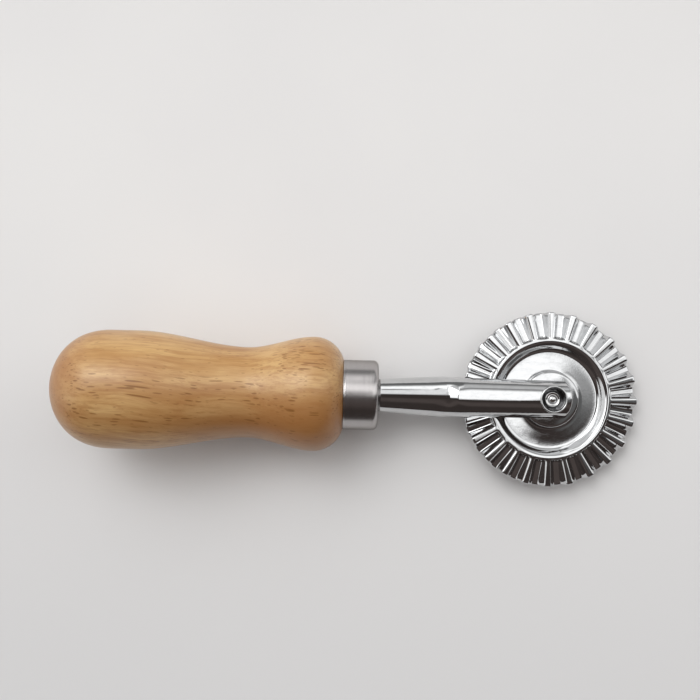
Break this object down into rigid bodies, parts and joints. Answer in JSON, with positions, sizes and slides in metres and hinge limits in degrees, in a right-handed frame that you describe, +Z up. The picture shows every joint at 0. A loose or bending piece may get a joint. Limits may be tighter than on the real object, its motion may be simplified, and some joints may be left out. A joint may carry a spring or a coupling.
{
  "type": "ravioli cutter wheel",
  "caption": "Hand tool for cutting and crimping filled pasta: a fluted metal wheel turns freely on a pin in a cast fork, which is set in a turned wooden handle with a steel ferrule.",
  "frame": {"origin": "on the table, under the middle of the tool as it lies at rest", "axes": "+X along the table from the butt of the handle to the wheel, +Z up; the tool lies nose down by 7.4 degrees, on the front bulge of the handle and the lower axle boss of the fork"},
  "size_m": [0.1679, 0.0504, 0.0413],
  "materials": {
    "lacquered_wood": "clear satin lacquer over pale open-pored hardwood",
    "satin_steel": "satin, fine marks round the ferrule",
    "chrome_casting": "mirror chrome plate",
    "plated_pin": "bright plate, peened ends"
  },
  "bodies": {
    "grip": {"handle": "lacquered_wood", "ferrule": "satin_steel", "fork": "chrome_casting", "axle_pin": "plated_pin"},
    "cutting_wheel": {"wheel": "chrome_casting"}
  },
  "joints": [
    {"name": "wheel_spin", "type": "hinge", "parent": "grip", "child": "cutting_wheel", "pos_m": [0.05871, 0, 0.00769], "axis": [0.1291, 0, 0.9916], "continuous": true}
  ]
}
